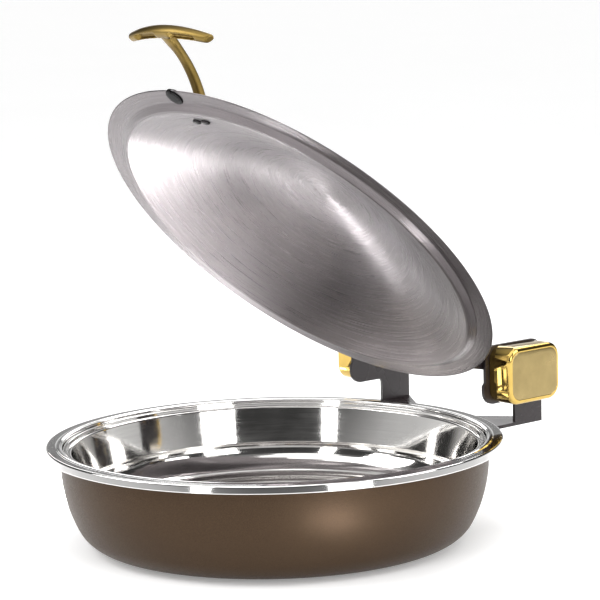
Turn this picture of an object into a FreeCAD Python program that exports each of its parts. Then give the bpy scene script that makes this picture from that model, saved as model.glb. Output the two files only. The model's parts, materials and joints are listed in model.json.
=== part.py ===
# Round chafer with a lid that lifts on a rear hinge.
# Millimetres, +Z up. The origin is the centre of the base disc's underside, -Y is the guest's
# side and the hinge is at +Y. The lid is modelled closed and then placed half open.
import FreeCAD, Part
import math
import os
import re
import Sketcher
from FreeCAD import Placement, Rotation, Vector

doc = FreeCAD.newDocument("HingedChafer")

# ------------------------------------------------------------------ driving dimensions
SIZES = {
    # round shells
    "sheet": (1.0, "thickness of the pressed steel sheet"),
    "rim_height": (89.0, "top of the rim above the table"),
    "rim_radius": (195.0, "outside of the flat rim"),
    "rim_lip": (181.2, "radius of the lip inside the flat rim"),
    "ledge_drop": (5.0, "food pan's ledge below the rim's top"),
    "ledge_radius": (178.0, "free edge of the ledge"),
    "skirt_drop": (6.0, "height of the rim's outer skirt"),
    "skirt_flare": (1.3, "how far the skirt leans out"),
    "rim_bend": (1.6, "outside bend radius of the pressed edges"),
    "ridge_radius": (184.7, "circle of the raised ridge on the rim"),
    "ridge_half": (1.4, "half the width of that ridge"),
    "ridge_bend": (2.0, "radius of the ridge's crown"),
    "body_radius": (183.2, "outside of the body below the rim"),
    "belly_curve": (120.0, "radius of the body's upper side curve"),
    "heel_curve": (30.0, "radius of the body's lower corner"),
    "heel_angle": (27.7, "degrees turned by the upper side curve"),
    "base_radius": (139.0, "induction disc under the body"),
    "base_height": (2.0, "thickness of the induction disc"),
    # food pan
    "pan_depth": (65.0, "inside depth of the food pan from the rim's top"),
    "pan_mouth": (173.8, "inside radius at the top of its wall"),
    "pan_foot": (167.0, "inside radius where the wall meets the corner"),
    "pan_corner": (28.0, "inside corner radius"),
    "pan_bead": (180.9, "outside of the pan's rolled bead"),
    "bead_drop": (2.4, "bead's top below the rim's top"),
    "ring_drop": (5.4, "pan's inner ring below the rim's top"),
    "pan_play": (0.4, "gap between the pan's step and the ledge"),
    "pan_lean": (0.5, "how far the pan's step leans out"),
    # lid
    "lid_gap": (2.3, "flange's underside above the rim when closed"),
    "lid_radius": (190.0, "outside of the lid's flange"),
    "lid_flange": (175.5, "inner edge of the flat flange"),
    "lid_step": (4.0, "depth of the locating step below the flange"),
    "step_foot": (169.7, "where the sloping step ends"),
    "dome_edge": (167.5, "where the dome starts"),
    "dome_slope": (24.5, "slope of the dome's straight side"),
    "dome_top_curve": (209.0, "radius of the dome's crown"),
    "lid_open": (45.0, "degrees that the stored lid stands open"),
    # hinge
    "hinge_back": (214.5, "hinge axis behind the centre"),
    "hinge_up": (48.0, "hinge axis above the rim's top"),
    "ear_inside": (83.0, "inner face of each ear"),
    "plate": (3.0, "thickness of the hinge plates"),
    "yoke_drop": (6.5, "top of the yoke plate below the rim's top"),
    "yoke_waist": (22.0, "half width of the yoke's straight back edge"),
    "yoke_back": (199.0, "that back edge behind the centre"),
    "yoke_fit": (183.6, "radius of the yoke's edge round the body"),
    "ear_front": (208.5, "front edge of the strap"),
    "ear_back": (243.2, "back edge of the strap and head"),
    "head_front": (169.3, "front of the head"),
    "head_bottom": (14.0, "head's lower edge above the rim's top"),
    "head_top": (66.0, "head's upper edge above the rim's top"),
    "head_corner": (12.0, "rounding of the head's corners"),
    "notch_depth": (2.4, "depth of the notch in the head's front"),
    "notch_low": (31.0, "notch's lower end above the rim's top"),
    "notch_high": (50.0, "notch's upper end above the rim's top"),
    "neck_bend": (4.0, "rounding between the head and the strap"),
    # hinge covers and hardware
    "cover_front": (176.0, "front of the cover"),
    "cover_back": (241.0, "back of the cover"),
    "cover_bottom": (15.0, "cover's lower edge above the rim's top"),
    "cover_top": (65.4, "cover's upper edge above the rim's top"),
    "cover_depth": (25.0, "how far the cover stands out"),
    "cover_corner": (13.0, "rounding of the cover's corners"),
    "cover_edge": (2.4, "rounding of the cover's outer edge"),
    "cover_wall": (2.0, "wall of the cover"),
    "post_radius": (4.0, "screw posts inside the cover"),
    "cover_screw": (1.5, "radius of the cover screws"),
    "screw_front_y": (190.0, "front cover screw behind the centre"),
    "screw_front_z": (46.0, "front cover screw above the rim's top"),
    "screw_back_y": (233.0, "back cover screw behind the centre"),
    "screw_back_z": (30.0, "back cover screw above the rim's top"),
    "screw_head": (1.2, "height of a cover screw's flat head"),
    "screw_head_radius": (3.2, "radius of a cover screw's flat head"),
    "screw_reach": (12.0, "length of a cover screw inside its post"),
    "pivot_radius": (4.0, "pivot bolt's shank"),
    "pivot_head": (7.5, "radius of the pivot bolt's head"),
    "pivot_head_height": (3.4, "thickness of the pivot bolt's head"),
    "slip": (0.3, "gap between the bolt's head and the bushing"),
    "pivot_reach": (96.0, "outer end of the pivot bolt from the middle"),
    "running": (0.05, "radial clearance of the bushing on the bolt"),
    "bushing_radius": (6.0, "outside of the bushing's sleeve"),
    "bushing_flange": (9.0, "radius of the bushing's flange"),
    "bushing_lip": (1.6, "thickness of the bushing's flange"),
    "bushing_proud": (0.2, "how far the sleeve stands past the arm"),
    "arm_inside": (78.3, "inner face of each lid arm"),
    "arm_eye": (11.0, "outside radius of the arm's eye"),
    "arm_foot_front": (158.0, "front of the arm's foot"),
    "arm_foot_back": (171.0, "back of the arm's foot"),
    "arm_heel": (5.5, "height of the arm's front edge"),
    "eye_slope": (30.0, "slope of the arm's edges at its eye"),
    "strap_inner": (176.5, "inner radius of the hinge strap on the flange"),
    "strap_outer": (189.0, "outer radius of the hinge strap"),
    "strap_angle": (29.0, "half angle of the hinge strap"),
    "strap_height": (2.5, "thickness of the hinge strap"),
    "disc_radius": (10.0, "radius of the friction disc"),
    "disc_height": (1.1, "thickness of the friction disc"),
    "disc_gap": (0.1, "gap between the friction disc and the ear"),
    "washer_rim": (9.0, "outer radius of the spring washer's wide end"),
    "washer_crown": (7.0, "outer radius of its narrow end"),
    "washer_height": (2.0, "height of the spring washer"),
    "nut_height": (6.0, "thickness of the pivot nut"),
    # fixings under the rim
    "boss_circle": (189.0, "circle of the bosses under the rim"),
    "boss_radius": (4.5, "radius of each boss"),
    "boss_inner_angle": (7.0, "inner pair of bosses from the back"),
    "boss_outer_angle": (21.0, "outer pair of bosses from the back"),
    "yoke_screw": (2.0, "radius of the yoke's screws"),
    "yoke_screw_head": (3.6, "radius of their heads"),
    "yoke_screw_rise": (2.4, "height of their heads"),
    # handle
    "foot_along": (148.0, "handle's foot in front of the centre"),
    "foot_gap": (0.05, "gasket above the dome's outside"),
    "foot_width": (27.0, "width of the foot"),
    "foot_length": (17.0, "length of the foot"),
    "foot_corner": (7.6, "rounding of the foot's corners"),
    "foot_height": (4.0, "thickness of the foot"),
    "gasket": (1.0, "thickness of the gasket"),
    "stem_radius": (4.4, "radius of the stem"),
    "stem_curve": (108.0, "radius that the stem's middle bends to"),
    "stem_top_along": (213.0, "where the stem levels out"),
    "stem_top_rise": (30.8, "height of the level stem above the flange"),
    "stem_angle": (36.0, "degrees of the stem's bend"),
    "bar_along": (225.0, "middle of the crossbar in front of the centre"),
    "bar_rise": (33.2, "crossbar's middle above the flange"),
    "bar_radius": (5.8, "radius of the crossbar's section"),
    "bar_curve": (160.0, "radius that the crossbar bends to"),
    "bar_angle": (34.5, "degrees of the crossbar's bend"),
    "handle_screw": (2.0, "radius of the handle's screws"),
    "handle_screw_gap": (5.3, "handle screws from the middle plane"),
    "handle_screw_head": (4.0, "radius of their heads"),
    "handle_screw_rise": (2.6, "height of their heads"),
    "foot_seat": (0.25, "gap that the dome's curve leaves at the screws"),
    # bumper
    "bumper_along": (184.1, "bumper's middle in front of the centre"),
    "bumper_radius": (8.5, "radius of the bumper's pad"),
    "bumper_pad": (1.4, "thickness of the pad under the flange"),
    "clip_half": (3.5, "half the width of the clip over the edge"),
    "clip_front": (192.7, "front of the clip"),
    "clip_back": (181.0, "back end of the clip on the flange"),
    "clip_height": (1.6, "thickness of the clip on the flange"),
    "clip_lip": (2.0, "how far the clip reaches back under the flange"),
    "clip_gap": (0.2, "gap between the clip and the flange's edge"),
}

sheet = doc.addObject("Spreadsheet::Sheet", "Dims")
for row, (alias, (value, meaning)) in enumerate(SIZES.items(), start=1):
    sheet.set("A%d" % row, meaning)
    sheet.set("B%d" % row, str(value))
    sheet.setAlias("B%d" % row, alias)
doc.recompute()


def bound(text):
    """The expression with every alias written as a reference to its cell."""
    return re.sub(r"[a-z_]+", lambda word: "Dims." + word[0] if word[0] in SIZES else word[0], text)


def size(text):
    """The value, in millimetres or degrees, of an expression of aliases."""
    return float(sheet.evalExpression(bound(text)))


def bind(thing, prop, text):
    """Bind one property to an expression of the sheet's cells."""
    setattr(thing, prop, size(text))
    thing.setExpression(prop, bound(text))
    return thing


def named(thing, label):
    """Give the finished sub-part its node name."""
    thing.Label = label
    nodes.append(thing)
    return thing


nodes = []
LID_PLANE = "(rim_height + lid_gap)"
FOOT_RISE = ("((dome_edge - foot_along) * tan(dome_slope) - lid_step"
             " + sheet / cos(dome_slope) + foot_gap)")
FOOT_SCREWS = ("-handle_screw_gap", "handle_screw_gap")
COVER_SCREWS = (("screw_front_y", "rim_height + screw_front_z"),
                ("screw_back_y", "rim_height + screw_back_z"))
BOSS_ANGLES = ("-boss_outer_angle", "-boss_inner_angle", "boss_inner_angle", "boss_outer_angle")
HINGE_LINE = ("hinge_back", "rim_height + hinge_up")
PIVOT_Y = size("hinge_back")
PIVOT_Z = size("rim_height + hinge_up")
OPEN = Placement(Vector(0, 0, 0), Rotation(Vector(1, 0, 0), -size("lid_open")),
                 Vector(0, PIVOT_Y, PIVOT_Z))
UPRIGHT = Placement(Vector(0, 0, 0), Rotation(Vector(1, 0, 0), 90))
ALONG_X = Rotation(Vector(0, 1, 0), 90)


# ------------------------------------------------------------------ sketch helpers
def arc_through(start, end, radius):
    """Arc from start to end; a positive radius turns left, a negative one right."""
    chord = end - start
    middle = (start + end) * 0.5
    height = math.sqrt(radius ** 2 - (chord.Length / 2) ** 2)
    left = Vector(-chord.y, chord.x, 0).normalize()
    centre = middle + left * math.copysign(height, radius)
    top = centre + (middle - centre).normalize() * abs(radius)
    return Part.Arc(start, top, end)


def draw(sketch, steps, closed=True):
    """Draw steps of (x, y) or (x, y, radius) and bind every point and radius to the sheet."""
    points = [Vector(size(step[0]), size(step[1]), 0) for step in steps]
    count = len(steps) if closed else len(steps) - 1
    ends = []
    for index in range(count):
        after = (index + 1) % len(steps)
        start, end = points[index], points[after]
        if len(steps[after]) == 3:
            side = sketch.addGeometry(arc_through(start, end, size(steps[after][2])))
        else:
            side = sketch.addGeometry(Part.LineSegment(start, end))
        first = 1 if sketch.getPoint(side, 1).distanceToPoint(start) < 1e-4 else 2
        ends.append((side, first, 3 - first))
    for index in range(count if closed else count - 1):
        side, _, last = ends[index]
        follower, first, _ = ends[(index + 1) % count]
        sketch.addConstraint(Sketcher.Constraint("Coincident", side, last, follower, first))
    corners = [(side, first) for side, first, _ in ends]
    if not closed:
        corners.append((ends[-1][0], ends[-1][2]))
    for (side, point), step in zip(corners, steps):
        for kind, text in (("DistanceX", step[0]), ("DistanceY", step[1])):
            made = sketch.addConstraint(Sketcher.Constraint(kind, -1, 1, side, point, size(text)))
            sketch.setExpression("Constraints[%d]" % made, bound(text))
    for index in range(count):
        after = (index + 1) % len(steps)
        if len(steps[after]) == 3:
            text = "abs(%s)" % steps[after][2]
            made = sketch.addConstraint(Sketcher.Constraint("Radius", ends[index][0], size(text)))
            sketch.setExpression("Constraints[%d]" % made, bound(text))
    return sketch


def circle(sketch, x, y, radius):
    """Add a circle whose place and radius are bound to the sheet."""
    shape = Part.Circle(Vector(size(x), size(y), 0), Vector(0, 0, 1), size(radius))
    ring = sketch.addGeometry(shape)
    for kind, text in (("DistanceX", x), ("DistanceY", y)):
        made = sketch.addConstraint(Sketcher.Constraint(kind, -1, 1, ring, 3, size(text)))
        sketch.setExpression("Constraints[%d]" % made, bound(text))
    made = sketch.addConstraint(Sketcher.Constraint("Radius", ring, size(radius)))
    sketch.setExpression("Constraints[%d]" % made, bound(radius))
    return sketch


def body_sketch(body, role, offset="0"):
    """An empty sketch on one of the body's own origin planes, moved along its normal."""
    sketch = body.newObject("Sketcher::SketchObject", "Outline")
    plane = next(item for item in body.Origin.OriginFeatures if item.Role == role)
    sketch.AttachmentSupport = (plane, "")
    sketch.MapMode = "FlatFace"
    sketch.AttachmentOffset = Placement(Vector(0, 0, size(offset)), Rotation())
    sketch.setExpression("AttachmentOffset.Base.z", bound(offset))
    return sketch


def feature(body, kind, sketch, length):
    """A Pad or Pocket along the sketch's normal, or against it where length is negative."""
    made = body.newObject("PartDesign::" + kind, kind)
    made.Profile = sketch
    made.Reversed = (size(length) < 0) != (kind == "Pocket")
    bind(made, "Length", "abs(%s)" % length)
    doc.recompute()
    return made


def pressed_shell(label, steps, thickness):
    """Round shell: an open profile (radius, height), thickened and turned about Z."""
    sketch = doc.addObject("Sketcher::SketchObject", label + "_profile")
    sketch.Placement = UPRIGHT
    draw(sketch, steps, closed=False)
    doc.recompute()
    strip = doc.addObject("Part::Offset2D", label + "_strip")
    strip.Source = sketch
    strip.Mode = "Skin"
    strip.Join = "Intersection"
    strip.Fill = True
    bind(strip, "Value", thickness)
    shell = doc.addObject("Part::Revolution", label + "_turned")
    shell.Source = strip
    shell.Axis = Vector(0, 0, 1)
    shell.Angle = 360
    shell.Solid = True
    doc.recompute()
    return shell


# ------------------------------------------------------------------ primitive helpers
def rod(radius, start, end, y="0", z="0", along="X"):
    """Cylinder from start to end along X or Z; y is its place across, z its height or X."""
    made = doc.addObject("Part::Cylinder", "Rod")
    bind(made, "Radius", radius)
    bind(made, "Height", "%s - (%s)" % (end, start))
    if along == "X":
        made.Placement = Placement(Vector(size(start), size(y), size(z)), ALONG_X)
    else:
        made.Placement = Placement(Vector(size(z), size(y), size(start)), Rotation())
    return made


def fused(*pieces):
    """Union of solids."""
    made = doc.addObject("Part::MultiFuse", "Union")
    made.Shapes = list(pieces)
    return made


def cut(base, tool):
    """Base without the tool."""
    made = doc.addObject("Part::Cut", "Difference")
    made.Base = base
    made.Tool = tool
    return made


def grouped(pieces):
    """Identical separate solids kept as one node."""
    made = doc.addObject("Part::Compound", "Group")
    made.Links = list(pieces)
    return made


def mirrored(source):
    """The same piece on the left side."""
    made = doc.addObject("Part::Mirroring", "Mirrored")
    made.Source = source
    made.Normal = Vector(1, 0, 0)
    return made


def pair(source, label, placement=None):
    """Right and left copies of a piece that is built on the right."""
    left = named(mirrored(source), label + "_left")
    right = named(source, label + "_right")
    if placement is not None:
        left.Placement = placement
        right.Placement = placement


# ------------------------------------------------------------------ body, rim and base
def water_pan():
    """Coated outer bowl that holds the hot water, turned about Z."""
    side = "(body_radius - belly_curve)"
    heel = "(%s + (belly_curve - heel_curve) * cos(heel_angle))" % side
    top = "(base_height + heel_curve + (belly_curve - heel_curve) * sin(heel_angle))"
    steps = [("0", "base_height"),
             (heel, "base_height"),
             ("%s + belly_curve * cos(heel_angle)" % side,
              "%s - belly_curve * sin(heel_angle)" % top, "heel_curve"),
             ("body_radius", top, "belly_curve"),
             ("body_radius", "rim_height - rim_bend")]
    named(pressed_shell("water_pan", steps, "sheet"), "water_pan")


def rim_ring():
    """Polished rim: skirt, flat top with a raised ridge, inner lip and the food pan's ledge."""
    steps = [("rim_radius + skirt_flare", "rim_height - skirt_drop"),
             ("rim_radius", "rim_height - rim_bend"),
             ("rim_radius - rim_bend", "rim_height", "rim_bend"),
             ("ridge_radius + ridge_half", "rim_height"),
             ("ridge_radius - ridge_half", "rim_height", "ridge_bend"),
             ("rim_lip + rim_bend", "rim_height"),
             ("rim_lip", "rim_height - rim_bend", "rim_bend"),
             ("rim_lip", "rim_height - ledge_drop"),
             ("ledge_radius", "rim_height - ledge_drop")]
    named(pressed_shell("rim_ring", steps, "sheet"), "rim_ring")


def base_disc():
    """Induction disc on which the chafer stands."""
    body = doc.addObject("PartDesign::Body", "BaseDisc")
    sketch = body_sketch(body, "XY_Plane")
    circle(sketch, "0", "0", "base_radius")
    feature(body, "Pad", sketch, "base_height")
    named(body, "base_disc")


def rim_bosses():
    """Four bosses under the rim and the screws that hold the yoke plate to them."""
    bosses, screws = [], []
    for angle in BOSS_ANGLES:
        x, y = "boss_circle * sin(%s)" % angle, "boss_circle * cos(%s)" % angle
        below = "rim_height - yoke_drop"
        solid = rod("boss_radius", below, "rim_height - sheet", y, x, "Z")
        bore = rod("yoke_screw", below, "rim_height - sheet * 2", y, x, "Z")
        bosses.append(cut(solid, bore))
        under = below + " - plate"
        shank = rod("yoke_screw", under, "rim_height - sheet * 2.5", y, x, "Z")
        head = rod("yoke_screw_head", under + " - yoke_screw_rise", under, y, x, "Z")
        screws.append(fused(shank, head))
    named(grouped(bosses), "rim_bosses")
    named(grouped(screws), "yoke_screws")


def food_pan():
    """Removable polished pan: rolled bead, inner ring, wall and floor."""
    floor = "(rim_height - pan_depth)"
    step = "(ledge_radius - sheet - pan_play)"
    steps = [("0", floor),
             ("pan_foot - pan_corner", floor),
             ("pan_foot", floor + " + pan_corner", "pan_corner"),
             ("pan_mouth", "rim_height - ring_drop - rim_bend"),
             ("pan_mouth + rim_bend", "rim_height - ring_drop", "-rim_bend"),
             (step, "rim_height - ring_drop"),
             (step + " + pan_lean", "rim_height - bead_drop"),
             ("pan_bead - rim_bend", "rim_height - bead_drop"),
             ("pan_bead", "rim_height - bead_drop - rim_bend", "-rim_bend")]
    named(pressed_shell("food_pan", steps, "-sheet"), "food_pan")


# ------------------------------------------------------------------ hinge on the body side
def hinge_bracket():
    """Yoke plate round the back of the body with two upright ears and their heads."""
    body = doc.addObject("PartDesign::Body", "HingeBracket")
    side = "(ear_inside + plate)"
    corner = "sqrt(yoke_fit * yoke_fit - %s * %s)" % (side, side)
    plan = body_sketch(body, "XY_Plane", "rim_height - yoke_drop - plate")
    draw(plan, [("-" + side, corner, "yoke_fit"), ("-" + side, "ear_back"),
                ("-ear_inside", "ear_back"), ("-yoke_waist", "yoke_back"),
                ("yoke_waist", "yoke_back"), ("ear_inside", "ear_back"),
                (side, "ear_back"), (side, corner)])
    feature(body, "Pad", plan, "plate")
    low, high = "(rim_height + head_bottom)", "(rim_height + head_top)"
    notch = "(head_front + notch_depth)"
    ear = [("ear_front", "rim_height - yoke_drop - plate"),
           ("ear_back", "rim_height - yoke_drop - plate"),
           ("ear_back", high + " - head_corner"),
           ("ear_back - head_corner", high, "head_corner"),
           (notch + " + head_corner", high),
           (notch, high + " - head_corner", "head_corner"),
           (notch, "rim_height + notch_high"),
           (notch, "rim_height + notch_low + notch_depth"),
           ("head_front", "rim_height + notch_low"),
           ("head_front", low + " + head_corner"),
           ("head_front + head_corner", low, "head_corner"),
           ("ear_front - neck_bend", low),
           ("ear_front", low + " - neck_bend", "-neck_bend")]
    for start, depth in (("ear_inside", "plate"), ("-ear_inside", "-plate")):
        outline = body_sketch(body, "YZ_Plane", start)
        draw(outline, ear)
        circle(outline, *HINGE_LINE, "pivot_radius + running")
        for y, z in COVER_SCREWS:
            circle(outline, y, z, "cover_screw + running")
        feature(body, "Pad", outline, depth)
    holes = body_sketch(body, "XY_Plane", "rim_height - yoke_drop - plate")
    for angle in BOSS_ANGLES:
        circle(holes, "boss_circle * sin(%s)" % angle, "boss_circle * cos(%s)" % angle,
               "yoke_screw + running")
    feature(body, "Pocket", holes, "plate")
    named(body, "hinge_bracket")


def hinge_covers():
    """Hollow rounded cap over each hinge, with two posts for its screws."""
    body = doc.addObject("PartDesign::Body", "HingeCover")
    inner_face = "(ear_inside + plate)"

    def rounded(wall):
        front, back = "(cover_front + %s)" % wall, "(cover_back - %s)" % wall
        low = "(rim_height + cover_bottom + %s)" % wall
        high = "(rim_height + cover_top - %s)" % wall
        bend = "(cover_corner - %s)" % wall
        return [(front + " + " + bend, low, bend), (back + " - " + bend, low),
                (back, low + " + " + bend, bend), (back, high + " - " + bend),
                (back + " - " + bend, high, bend), (front + " + " + bend, high),
                (front, high + " - " + bend, bend), (front, low + " + " + bend)]

    outside = body_sketch(body, "YZ_Plane", inner_face)
    draw(outside, rounded("0"))
    block = feature(body, "Pad", outside, "cover_depth")
    face_x = size(inner_face + " + cover_depth")
    rim = ["Edge%d" % (index + 1) for index, edge in enumerate(block.Shape.Edges)
           if edge.BoundBox.XMin > face_x - 0.01]
    softened = body.newObject("PartDesign::Fillet", "Softened")
    softened.Base = (block, rim)
    bind(softened, "Radius", "cover_edge")
    doc.recompute()
    hollow = body_sketch(body, "YZ_Plane", inner_face)
    draw(hollow, rounded("cover_wall"))
    feature(body, "Pocket", hollow, "(cover_depth - cover_wall)")
    posts = body_sketch(body, "YZ_Plane", inner_face)
    for y, z in COVER_SCREWS:
        circle(posts, y, z, "post_radius")
    feature(body, "Pad", posts, "(cover_depth - cover_wall / 2)")
    bores = body_sketch(body, "YZ_Plane", inner_face)
    for y, z in COVER_SCREWS:
        circle(bores, y, z, "cover_screw + running")
    feature(body, "Pocket", bores, "(cover_depth - cover_wall * 2)")
    pair(body, "hinge_cover")
    screws = []
    for y, z in COVER_SCREWS:
        shank = rod("cover_screw", "ear_inside", "ear_inside + plate + screw_reach", y, z)
        top = rod("screw_head_radius", "ear_inside - screw_head", "ear_inside", y, z)
        screws.append(fused(shank, top))
    right = grouped(screws)
    named(grouped([right, mirrored(right)]), "cover_screws")


def hinge_hardware():
    """Pivot bolt, friction disc, spring washer and nut of each hinge, on its axis."""
    seat = "(arm_inside - bushing_lip - slip)"
    head = rod("pivot_head", seat + " - pivot_head_height", seat, *HINGE_LINE)
    shank = rod("pivot_radius", seat, "pivot_reach", *HINGE_LINE)
    pair(fused(head, shank), "pivot_bolt")
    bore = ("pivot_radius + running", "arm_inside", "pivot_reach")
    disc = rod("disc_radius", "ear_inside - disc_gap - disc_height", "ear_inside - disc_gap",
               *HINGE_LINE)
    pair(cut(disc, rod(*bore, *HINGE_LINE)), "friction_disc")
    outer = "(ear_inside + plate)"
    washer = doc.addObject("Part::Cone", "SpringWasher")
    bind(washer, "Radius1", "washer_rim")
    bind(washer, "Radius2", "washer_crown")
    bind(washer, "Height", "washer_height")
    washer.Placement = Placement(Vector(size(outer), PIVOT_Y, PIVOT_Z), ALONG_X)
    pair(cut(washer, rod(*bore, *HINGE_LINE)), "spring_washer")
    nut = doc.addObject("Part::Prism", "Nut")
    nut.Polygon = 6
    bind(nut, "Circumradius", "pivot_head")
    bind(nut, "Height", "nut_height")
    nut.Placement = Placement(Vector(size(outer + " + washer_height"), PIVOT_Y, PIVOT_Z), ALONG_X)
    pair(cut(nut, rod(*bore, *HINGE_LINE)), "pivot_nut")


# ------------------------------------------------------------------ lid, in its closed place
def lid_shell():
    """Brushed lid: flat flange, locating step, straight sloping side and a round crown."""
    turn = "(dome_top_curve * sin(dome_slope))"
    turn_rise = "((dome_edge - %s) * tan(dome_slope) - lid_step)" % turn
    crown = "%s + %s + dome_top_curve * (1 - cos(dome_slope))" % (LID_PLANE, turn_rise)
    steps = [("lid_radius", LID_PLANE),
             ("lid_flange", LID_PLANE),
             ("step_foot", LID_PLANE + " - lid_step"),
             ("dome_edge", LID_PLANE + " - lid_step"),
             (turn, "%s + %s" % (LID_PLANE, turn_rise)),
             ("0", crown, "dome_top_curve")]
    dome = pressed_shell("lid_shell", steps, "-sheet")
    named(cut(dome, foot_bores("-foot_height", "foot_height")), "lid_shell").Placement = OPEN


def on_foot(thing):
    """Move a piece drawn at the origin to the handle's foot, square to the dome."""
    spot = Vector(0, -size("foot_along"), size(LID_PLANE + " + " + FOOT_RISE))
    tilt = Rotation(Vector(1, 0, 0), size("dome_slope"))
    thing.Placement = Placement(spot, tilt).multiply(thing.Placement)
    return thing


def lid_hinge_strap():
    """Strap welded on the flange, with the two arms that reach back to the pivots."""
    body = doc.addObject("PartDesign::Body", "LidHingeStrap")
    top = "(%s + sheet)" % LID_PLANE
    plan = body_sketch(body, "XY_Plane", top)
    sine, cosine = "sin(strap_angle)", "cos(strap_angle)"
    draw(plan, [("strap_inner * " + sine, "strap_inner * " + cosine, "-strap_inner"),
                ("strap_outer * " + sine, "strap_outer * " + cosine),
                ("-strap_outer * " + sine, "strap_outer * " + cosine, "strap_outer"),
                ("-strap_inner * " + sine, "strap_inner * " + cosine)])
    feature(body, "Pad", plan, "strap_height")
    across, up = "arm_eye * sin(eye_slope)", "arm_eye * cos(eye_slope)"
    axis = "(rim_height + hinge_up)"
    arm = [("arm_foot_front", top), ("arm_foot_back", top),
           ("arm_foot_back", top + " + strap_height"),
           ("hinge_back + " + across, axis + " - " + up),
           ("hinge_back - " + across, axis + " + " + up, "arm_eye"),
           ("arm_foot_front", top + " + arm_heel")]
    for start, depth in (("arm_inside", "plate"), ("-arm_inside", "-plate")):
        outline = body_sketch(body, "YZ_Plane", start)
        draw(outline, arm)
        circle(outline, *HINGE_LINE, "bushing_radius")
        feature(body, "Pad", outline, depth)
    named(body, "lid_hinge_strap").Placement = OPEN


def bushings():
    """Flanged bushing pressed into each arm; it turns on the pivot bolt."""
    flange = rod("bushing_flange", "arm_inside - bushing_lip", "arm_inside", *HINGE_LINE)
    sleeve = rod("bushing_radius", "arm_inside", "arm_inside + plate + bushing_proud", *HINGE_LINE)
    bore = rod("pivot_radius + running", "arm_inside - plate", "arm_inside + plate * 2", *HINGE_LINE)
    pair(cut(fused(flange, sleeve), bore), "arm_bushing", OPEN)


def foot_plate(low, height):
    """Plate with the foot's rounded outline, square to the dome at the handle's foot."""
    plate = doc.addObject("Part::Box", "FootPlate")
    bind(plate, "Length", "foot_width")
    bind(plate, "Width", "foot_length")
    bind(plate, "Height", height)
    corner = Vector(-size("foot_width") / 2, -size("foot_length") / 2, size(low))
    plate.Placement = Placement(corner, Rotation())
    doc.recompute()
    rounded = doc.addObject("Part::Fillet", "RoundedPlate")
    rounded.Base = plate
    bend = size("foot_corner")
    rounded.Edges = [(index + 1, bend, bend) for index, edge in enumerate(plate.Shape.Edges)
                     if edge.BoundBox.ZLength > size(height) / 2]
    doc.recompute()
    return on_foot(rounded)


def foot_bores(low, high):
    """Clearance holes of the two handle screws."""
    return fused(*[on_foot(rod("handle_screw + running", low, high, "0", x, "Z"))
                   for x in FOOT_SCREWS])


def lid_handle():
    """Cast tee handle: foot on the dome, bent stem and a crossbar that follows the lid's edge."""
    pad = foot_plate("gasket", "foot_height")
    # a torus starts in the XZ plane at its outer radius; these turn it to the lid's planes
    stem = doc.addObject("Part::Torus", "Stem")
    bind(stem, "Radius1", "stem_curve")
    bind(stem, "Radius2", "stem_radius")
    bind(stem, "Angle3", "stem_angle")
    level = "%s + stem_top_rise" % LID_PLANE
    stem.Placement = Placement(Vector(0, -size("stem_top_along"), size(level + " - stem_curve")),
                               Rotation(Vector(0, 0, 1), Vector(0, 1, 0), Vector(1, 0, 0), "XYZ"))
    neck = rod("stem_radius", "0", "bar_along - stem_top_along")
    neck.Placement = Placement(Vector(0, -size("stem_top_along"), size(level)),
                               Rotation(Vector(1, 0, 0), 90))
    bar = doc.addObject("Part::Torus", "Crossbar")
    bind(bar, "Radius1", "bar_curve")
    bind(bar, "Radius2", "bar_radius")
    bind(bar, "Angle3", "bar_angle")
    middle = Vector(0, size("bar_curve - bar_along"), size(LID_PLANE + " + bar_rise"))
    bar.Placement = Placement(middle, Rotation(Vector(0, 0, 1), -90 - size("bar_angle") / 2))
    tips = []
    for side in (-1, 1):
        tip = doc.addObject("Part::Sphere", "Tip")
        bind(tip, "Radius", "bar_radius")
        swing = Rotation(Vector(0, 0, 1), side * size("bar_angle") / 2)
        tip.Placement = Placement(middle + swing.multVec(Vector(0, -size("bar_curve"), 0)), Rotation())
        tips.append(tip)
    casting = cut(fused(pad, stem, neck, bar, *tips), foot_bores("0", "gasket + foot_height - sheet"))
    named(casting, "lid_handle").Placement = OPEN


def handle_fixings():
    """Gasket under the foot and the two screws that come up through the dome."""
    washer = cut(foot_plate("0", "gasket"), foot_bores("-gasket", "gasket * 2"))
    named(washer, "handle_gasket").Placement = OPEN
    screws = []
    for x in FOOT_SCREWS:
        below = "-sheet - foot_seat"
        shank = rod("handle_screw", below, "gasket + foot_height - sheet * 1.5", "0", x, "Z")
        head = rod("handle_screw_head", below + " - handle_screw_rise", below, "0", x, "Z")
        screws.append(on_foot(fused(shank, head)))
    named(grouped(screws), "handle_screws").Placement = OPEN


def lid_bumper():
    """Rubber pad under the front of the flange, with a clip over the flange's edge."""
    body = doc.addObject("PartDesign::Body", "LidBumper")
    pad = body_sketch(body, "XY_Plane", LID_PLANE + " - bumper_pad")
    circle(pad, "0", "-bumper_along", "bumper_radius")
    feature(body, "Pad", pad, "bumper_pad")
    side = body_sketch(body, "YZ_Plane", "-clip_half")
    top, low = LID_PLANE + " + sheet", LID_PLANE + " - bumper_pad"
    edge = "-lid_radius - clip_gap"
    draw(side, [("-clip_back", top), ("-clip_back", top + " + clip_height"),
                ("-clip_front", top + " + clip_height"), ("-clip_front", low),
                ("-lid_radius + clip_lip", low), ("-lid_radius + clip_lip", LID_PLANE),
                (edge, LID_PLANE), (edge, top)])
    feature(body, "Pad", side, "clip_half * 2")
    named(body, "lid_bumper").Placement = OPEN


def build():
    water_pan()
    rim_ring()
    base_disc()
    rim_bosses()
    food_pan()
    hinge_bracket()
    hinge_covers()
    hinge_hardware()
    lid_shell()
    lid_hinge_strap()
    bushings()
    lid_handle()
    handle_fixings()
    lid_bumper()


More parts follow.
